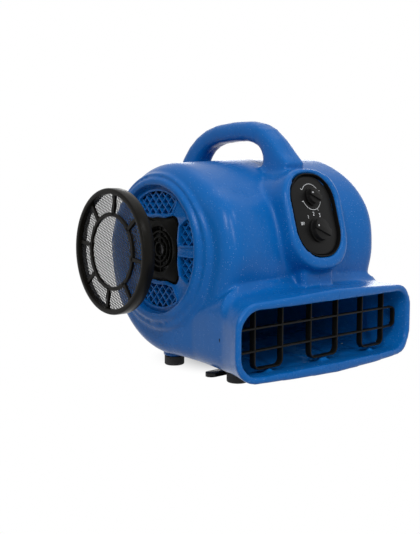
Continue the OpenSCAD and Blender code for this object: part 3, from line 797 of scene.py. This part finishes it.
@dataclass
class Filter:
    """A pull-off filter: a skirted rim and spokes over a fine woven net.

    Attributes:
        side: the end of the fan axis that it belongs to.
        seat: distance of its inner face from the parting plane.
        radius: outer radius of the rim.
        deep: depth of the skirt.
        band: width of the rim's face.
        skirt: thickness of the skirt.
        ring: middle radius of the inner ring.
        spokes: number of spokes.
        pitch: pitch of the net.
        wire: thickness of its wires.
    """

    side: Side
    seat: float
    radius: float = 78 * MM
    deep: float = 15 * MM
    band: float = 7.0 * MM
    skirt: float = 2.8 * MM
    ring: float = 46 * MM
    spokes: int = 8
    pitch: float = 3.3 * MM
    wire: float = 0.72 * MM

    @property
    def body(self) -> Body:
        """The body that the filter rides on."""
        return Body.LEFT_FILTER if self.side is Side.LEFT else Body.RIGHT_FILTER

    @property
    def axis(self) -> Vector:
        """The direction that the filter faces."""
        return Vector((self.side.value, 0, 0))

    @property
    def centre(self) -> Vector:
        """The middle of the filter's inner face."""
        return Vector((self.side.value * self.seat, 0, FAN_HEIGHT))

    def outward(self, angle: float) -> Vector:
        """Returns the direction away from the fan axis at an angle."""
        return Vector((0, math.cos(angle), math.sin(angle)))

    def build(self) -> None:
        """Builds the frame and the net in the place of their nodes."""
        name = self.side.name.lower()
        rim = link_mesh(f"{name}_filter_rim", self.frame(), FRAME, 35.0)
        settle(rim, self.body, Slot.BLACK, f"{name}_filter_frame")
        net = link_mesh(f"{name}_filter_mesh", self.net(), NET)
        settle(net, self.body, Slot.NET, f"{name}_filter_net")

    def frame(self) -> BMesh:
        """Returns the rim, the inner ring and the spokes."""
        bm = bmesh.new()
        r, inner, top = self.radius, self.radius - self.band, self.deep
        turn(bm, [
            (r - 0.3 * MM, 0), (r, 0.5 * MM), (r, top - 2.2 * MM), (r - 0.6 * MM, top - 0.7 * MM),
            (r - 2.0 * MM, top), (inner + 1.2 * MM, top), (inner + 0.3 * MM, top - 0.4 * MM),
            (inner, top - 1.4 * MM), (inner, top - 6.4 * MM), (r - self.skirt, top - 7 * MM),
            (r - self.skirt, 0)], self.centre, self.axis)
        near, far = self.ring - 2.4 * MM, self.ring + 2.4 * MM
        low, high, soft = 7.8 * MM, 11.4 * MM, 0.6 * MM
        turn(bm, [
            (near, low), (far, low), (far, high - soft), (far - soft, high), (near + soft, high),
            (near, high - soft)], self.centre, self.axis)
        middle = self.centre + self.axis * (low + high) / 2
        first, wide = 8, 4.4 * MM
        for i in range(self.spokes):
            angle = math.radians(360 / self.spokes * i + first)
            way, across = self.outward(angle), self.outward(angle + math.pi / 2)
            bar(bm, middle + way * self.ring, middle + way * (inner + 2 * MM),
                across * wide, self.axis * (high - low))
        bmesh.ops.recalc_face_normals(bm, faces=bm.faces)
        return bm

    def net(self) -> BMesh:
        """Returns the woven net as crossing wires inside the rim."""
        bm = bmesh.new()
        reach, level = self.radius - 3 * MM, 7.2 * MM
        count = int(reach / self.pitch)
        for turned in (20, 110):
            angle = math.radians(turned)
            along, side = self.outward(angle), self.outward(angle + math.pi / 2)
            for i in range(-count, count + 1):
                off = i * self.pitch
                half = math.sqrt(reach ** 2 - off ** 2)
                if half < 2 * self.pitch:
                    continue
                middle = self.centre + self.axis * level + side * off
                start, end = middle - along * half, middle + along * half
                bar(bm, start, end, side * self.wire, self.axis * self.wire)
        bmesh.ops.recalc_face_normals(bm, faces=bm.faces)
        return bm


ONE = [[(-0.5, 1), (0, 2), (0, -2)]]
TWO = [[(-1, 1.4), (0, 2), (1, 1.4), (1, 0.4), (-1, -2), (1, -2)]]
THREE = [[(-1, 2), (1, 2), (0, 0.4), (1, -0.6), (0.6, -1.8), (-1, -2)]]
OFF = [
    [(-1, 2), (1, 2), (1, -2), (-1, -2), (-1, 2)],
    [(2, -2), (2, 2), (3.6, 2)], [(2, 0.2), (3.2, 0.2)],
    [(4.6, -2), (4.6, 2), (6.2, 2)], [(4.6, 0.2), (5.8, 0.2)],
]


@dataclass
class Panel:
    """The control panel: a raised plate in a black wall that paints the shade of the recess, and what is
    printed on it and on its knobs.

    Attributes:
        foot: the lower end of the pod's face, on the parting plane.
        lean: lean of the face from upright, in degrees.
        set_in: depth of the panel below the pod's frame.
        well: outline of the black wall round the plate.
        bore: outline of that wall's inner side.
        face: outline of the raised plate.
        raised: how far the plate stands above the liner's floor.
        timer: place of the timer knob up the face.
        speed: place of the speed knob up the face.
        flat: share of a knob's height that is kept.
        knob_gap: gap below a knob.
        line: width of a printed line.
        timer_ring: radius of the arcs round the timer knob.
        speed_ring: radius of the ring of numbers round the speed knob.
    """

    foot: Triple = (0.0, -166 * MM, 146 * MM)
    lean: float = 16.0
    set_in: float = 7 * MM
    well: RoundedBox = RoundedBox(40.3 * MM, 8 * MM, 116 * MM, 36 * MM)
    bore: RoundedBox = RoundedBox(39.3 * MM, 9 * MM, 115 * MM, 35 * MM)
    face: RoundedBox = RoundedBox(36.6 * MM, 11 * MM, 113 * MM, 33 * MM)
    raised: float = 2.5 * MM
    timer: float = 86 * MM
    speed: float = 42 * MM
    flat: float = 0.62
    knob_gap: float = 0.6 * MM
    line: float = 0.65 * MM
    timer_ring: float = 17 * MM
    speed_ring: float = 22 * MM

    def block(self, bm: BMesh, outline: RoundedBox, low: float, high: float) -> None:
        """Adds a block with the given outline, rounded along its upper edge."""
        floor = [bm.verts.new((x, y, low)) for x, y in outline.points()]
        top = extruded(bm, floor, (0, 0, high - low))
        edges = [e for e in bm.edges if all(v in top for v in e.verts)]
        round_edges(bm, edges, width=1.1 * MM, segments=3)

    def liner(self, bm: BMesh, high: float) -> None:
        """Adds the black wall round the plate, up to a height: painted shade on the recess wall, which
        lies in shadow.
        """
        outer, inner = self.well.points(), self.bore.points()
        loops = [[bm.verts.new((x, y, h)) for x, y in line]
                 for line, h in ((outer, 0.0), (outer, high), (inner, high), (inner, 0.0))]
        for here, there in zip(loops, [*loops[1:], loops[0]]):
            for i in range(len(here)):
                j = (i + 1) % len(here)
                bm.faces.new((here[i], here[j], there[j], there[i]))

    def plate(self) -> None:
        """Builds the plate and its black wall of painted shade in the place of the panel's node."""
        bm = bmesh.new()
        self.block(bm, self.well, low=-3 * MM, high=0.0)
        self.block(bm, self.face, low=0.0, high=self.raised)
        # painted shade: the recess wall is lined in black where it lies in shadow
        self.liner(bm, high=self.set_in - 1.2 * MM)
        bmesh.ops.recalc_face_normals(bm, faces=bm.faces)
        bmesh.ops.transform(bm, matrix=self.matrix(0), verts=bm.verts)
        settle(link_mesh("panel_plate", bm, BLACK), Body.HOUSING, Slot.BLACK, "control_panel")

    def knob_fit(self, middle: float, share: float) -> Matrix:
        """Returns the matrix that lowers a knob onto the plate and keeps a share of its radius."""
        place = self.matrix(0)
        lifted = Matrix.Translation((0, middle, self.raised + self.knob_gap))
        drawn = Matrix.Diagonal((share, share, self.flat, 1))
        lowered = Matrix.Translation((0, -middle, -self.knob_gap))
        return place @ lifted @ drawn @ lowered @ place.inverted()

    def matrix(self, height: float) -> Matrix:
        """Returns the place of a plane at a height above the panel's front, with Y up the face."""
        return (Matrix.Translation(self.foot) @ Matrix.Rotation(math.radians(90 - self.lean), 4, "X")
                @ Matrix.Translation((0, 0, height - self.set_in)))

    def about(self, middle: float, radius: float, angle: float) -> Point:
        """Returns the point of the face at a radius and an angle in degrees round a knob."""
        a = math.radians(angle)
        return radius * math.cos(a), middle + radius * math.sin(a)

    def stroke(self, bm: BMesh, points: Points) -> None:
        """Adds a thin flat line through points of the plate's face."""
        place = self.matrix(self.raised + 0.06 * MM)
        for (ax, ay), (bx, by) in zip(points, points[1:]):
            along = Vector((bx - ax, by - ay, 0))
            side = Vector((-along.y, along.x, 0)).normalized() * self.line / 2
            over = along.normalized() * self.line * 0.2
            start, end = Vector((ax, ay, 0)) - over, Vector((bx, by, 0)) + over
            corners = (start - side, end - side, end + side, start + side)
            bm.faces.new([bm.verts.new(place @ c) for c in corners])

    def arc(self, bm: BMesh, middle: float, radius: float, start: float, end: float) -> None:
        """Adds a printed arc round a knob, from one angle to another in degrees."""
        count = max(2, int(abs(end - start) / 6))
        angles = [start + (end - start) * i / count for i in range(count + 1)]
        self.stroke(bm, [self.about(middle, radius, a) for a in angles])

    def sign(self, bm: BMesh, strokes: list[Points], at: Point, cell: float) -> None:
        """Adds a small sign made of strokes on a grid of a quarter of its height."""
        for points in strokes:
            self.stroke(bm, [(at[0] + x * cell, at[1] + y * cell) for x, y in points])

    def build(self) -> None:
        """Builds the plate, the printed marks and the knobs' dots."""
        self.plate()
        bm = bmesh.new()
        for start, end in ((148, 25), (338, 199)):
            self.arc(bm, self.timer, self.timer_ring, start, end)
        inner, outer = self.timer_ring + 0.5 * MM, self.timer_ring + 3.0 * MM
        for angle in (148, 25, 199, 295):
            self.stroke(bm, [self.about(self.timer, r, angle) for r in (inner, outer)])
        for strokes, angle in ((ONE, 125), (TWO, 95), (THREE, 65)):
            self.sign(bm, strokes, self.about(self.speed, self.speed_ring, angle), cell=1.1 * MM)
        self.sign(bm, OFF, at=(-27 * MM, self.speed + 9.5 * MM), cell=0.8 * MM)
        bmesh.ops.recalc_face_normals(bm, faces=bm.faces)
        settle(link_mesh("panel_print", bm, PRINT), Body.HOUSING, Slot.BLACK)
        self.dot("timer_dot", self.timer, 7.2 * MM, 12.5 * MM, Body.TIMER)
        self.dot("speed_dot", self.speed, 10.0 * MM, 13.8 * MM, Body.SPEED)

    def dot(self, name: str, middle: float, radius: float, height: float, body: Body) -> None:
        """Adds the white dot at the end of a knob's pointer."""
        bm = bmesh.new()
        x, y = self.about(middle, radius, angle=155)
        place = self.matrix(height) @ Matrix.Translation((x, y, 0))
        bmesh.ops.create_circle(bm, cap_ends=True, segments=16, radius=1.0 * MM, matrix=place)
        settle(link_mesh(name, bm, PRINT), body, Slot.BLACK)


@dataclass
class Camera:
    """The photograph's viewpoint.

    Attributes:
        place: where the camera stands.
        heading: turn from +Y towards +X, in radians.
        pitch: tilt below the horizon, in radians.
        focal: focal length in pixels of the photograph.
        image: width and height of the photograph in pixels.
    """

    place: Triple = (-0.69148, -0.74931, 0.22375)
    heading: float = 0.7076
    pitch: float = 0.0935
    focal: float = 717.6
    image: tuple[int, int] = (420, 534)

    def build(self) -> None:
        """Adds the camera and makes it the scene's own."""
        data = bpy.data.cameras.new("photo_view")
        data.sensor_width = 36.0
        data.lens = self.focal * data.sensor_width / max(self.image)
        data.clip_start = 10 * MM
        view = bpy.data.objects.new("photo_view", data)
        view.location = self.place
        view.rotation_euler = (math.pi / 2 - self.pitch, 0, -self.heading)
        bpy.context.scene.collection.objects.link(view)
        bpy.context.scene.camera = view


@dataclass(frozen=True)
class Lamp:
    """A soft rectangular lamp.

    Attributes:
        name: the lamp's name.
        place: where it hangs.
        aim: the point that it faces.
        size: its width and height.
        power: its power in watts.
    """

    name: str
    place: Triple
    aim: Triple
    size: tuple[float, float]
    power: float

    def build(self) -> None:
        """Adds the lamp to the scene."""
        data = bpy.data.lights.new(self.name, "AREA")
        data.shape = "RECTANGLE"
        data.size, data.size_y = self.size
        data.energy = self.power
        lamp = bpy.data.objects.new(self.name, data)
        lamp.location = self.place
        lamp.rotation_euler = (Vector(self.aim) - Vector(self.place)).to_track_quat("-Z", "Y").to_euler()
        bpy.context.scene.collection.objects.link(lamp)


@dataclass
class Studio:
    """A plain pale floor in soft light.

    Attributes:
        near: radius up to which the floor takes light and shadow.
        far: radius past which it is as white as the background.
        reach: radius of the floor.
        sky: strength of the soft light from straight above.
        horizon: strength of the soft light from the horizon.
        shade: grey level of the floor near the object.
        lamps: the soft lamps.
    """

    near: float = 0.0
    far: float = 0.13
    reach: float = 12.0
    sky: float = 0.66
    horizon: float = 0.32
    shade: float = 0.60
    lamps: tuple[Lamp, ...] = (
        Lamp("key", (-1.3, -0.9, 1.2), (0, -0.02, 0.16), (0.35, 0.45), 11.5),
        Lamp("top", (0.2, 0.1, 1.8), (0, 0, 0.1), (1.2, 1.2), 4.0),
        Lamp("front", (0.5, -1.4, 1.5), (0, -0.05, 0.15), (0.4, 0.4), 4.5),
        Lamp("strip", (-0.55, -1.5, 1.0), (0, -0.13, 0.19), (0.14, 0.7), 7.5),
        Lamp("rim", (1.25, 1.0, 0.5), (0, -0.05, 0.18), (1.2, 0.6), 6.0),
    )

    def build(self) -> None:
        """Adds the floor, the background and the lamps."""
        bpy.context.scene.view_settings.view_transform = "Standard"
        self.background()
        self.floor()
        for lamp in self.lamps:
            lamp.build()

    def background(self) -> None:
        """Sets an even world that is white in view and in reflections, and dimmer as light."""
        world = bpy.data.worlds.new("white_room")
        world.use_nodes = True
        bpy.context.scene.world = world
        tree = world.node_tree
        glow = tree.nodes["Background"]
        glow.inputs["Color"].default_value = (1, 1, 1, 1)
        path = tree.nodes.new("ShaderNodeLightPath")
        seen = math_node(tree, "MAXIMUM", path.outputs["Is Camera Ray"], path.outputs["Is Glossy Ray"])
        seen = math_node(tree, "MAXIMUM", seen, path.outputs["Is Transmission Ray"])
        way = tree.nodes.new("ShaderNodeSeparateXYZ")
        tree.links.new(tree.nodes.new("ShaderNodeTexCoord").outputs["Generated"], way.inputs["Vector"])
        height = math_node(tree, "MAXIMUM", way.outputs["Z"], 0.0)
        light = math_node(tree, "MULTIPLY_ADD", height, self.sky - self.horizon, self.horizon)
        missing = math_node(tree, "SUBTRACT", 1.0, light)
        tree.links.new(math_node(tree, "MULTIPLY_ADD", seen, missing, light), glow.inputs["Strength"])

    def floor(self) -> None:
        """Adds the floor, which fades to plain white away from the object."""
        bm = bmesh.new()
        bmesh.ops.create_circle(bm, cap_ends=True, segments=96, radius=self.reach)
        floor = link_mesh("floor", bm, BLUE)
        floor.data.materials.clear()
        floor.data.materials.append(self.floor_material())

    def floor_material(self) -> bpy.types.Material:
        """Returns the floor's material: matt near the object, plain white beyond."""
        made = bpy.data.materials.new("pale_floor")
        made.use_nodes = True
        tree = made.node_tree
        tree.nodes.remove(tree.nodes["Principled BSDF"])
        matt = tree.nodes.new("ShaderNodeBsdfDiffuse")
        matt.inputs["Color"].default_value = (self.shade, self.shade, self.shade, 1)
        white = tree.nodes.new("ShaderNodeEmission")
        mix = tree.nodes.new("ShaderNodeMixShader")
        place = tree.nodes.new("ShaderNodeTexCoord")
        length = tree.nodes.new("ShaderNodeVectorMath")
        length.operation = "LENGTH"
        tree.links.new(place.outputs["Object"], length.inputs[0])
        fade = tree.nodes.new("ShaderNodeMapRange")
        fade.interpolation_type = "SMOOTHSTEP"
        fade.inputs["From Min"].default_value = self.near
        fade.inputs["From Max"].default_value = self.far
        tree.links.new(length.outputs["Value"], fade.inputs["Value"])
        path = tree.nodes.new("ShaderNodeLightPath")
        seen = math_node(tree, "MAXIMUM", path.outputs["Is Camera Ray"], path.outputs["Is Glossy Ray"])
        tree.links.new(math_node(tree, "MULTIPLY", fade.outputs["Result"], seen), mix.inputs["Fac"])
        tree.links.new(matt.outputs["BSDF"], mix.inputs[1])
        tree.links.new(white.outputs["Emission"], mix.inputs[2])
        tree.links.new(mix.outputs["Shader"], tree.nodes["Material Output"].inputs["Surface"])
        return made


def dress_nodes(nodes: dict[str, Object]) -> None:
    """Gives every node that stays in view its finish.

    Args:
        nodes: the frame's node objects by name.
    """
    for finish, names in NODES_BY_FINISH.items():
        for name in names:
            nodes[name].data.materials.clear()
            nodes[name].data.materials.append(finish.material())
            LOG.info("%s keeps its own shape, finished in %s", name, finish.name)


def main() -> None:
    """Builds the scene round the frame, piece by piece."""
    logging.basicConfig(level=logging.INFO, format="%(name)s: %(message)s")
    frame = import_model()
    nodes = frame["nodes"]
    Camera().build()
    Studio().build()
    dress_nodes(nodes)
    Housing(nodes).build()
    Softened(nodes, Body.HOUSING, Slot.BLACK, COVER).build("motor_cover")
    Guard().build()
    grilles = Softened(
        nodes, Body.HOUSING, Slot.BLUE, BLUE, width=0.3 * MM, slim=0.25 * MM, deepen=6.5 * MM)
    grilles.build("left_inlet_grille", "right_inlet_grille")
    panel = Panel()
    panel.build()
    timer_fit = panel.knob_fit(panel.timer, 0.85)
    Softened(nodes, Body.TIMER, Slot.BLACK, BLACK, 0.5 * MM, timer_fit).build("timer_knob")
    speed_fit = panel.knob_fit(panel.speed, 1.0)
    Softened(nodes, Body.SPEED, Slot.BLACK, BLACK, 0.6 * MM, speed_fit).build("speed_knob")
    Softened(nodes, Body.STAND, Slot.STAND, GLOSS, 0.8 * MM).build("folding_stand")
    Filter(Side.LEFT, 201 * MM).build()
    Filter(Side.RIGHT, 141 * MM).build()


if __name__ == "__main__":
    main()
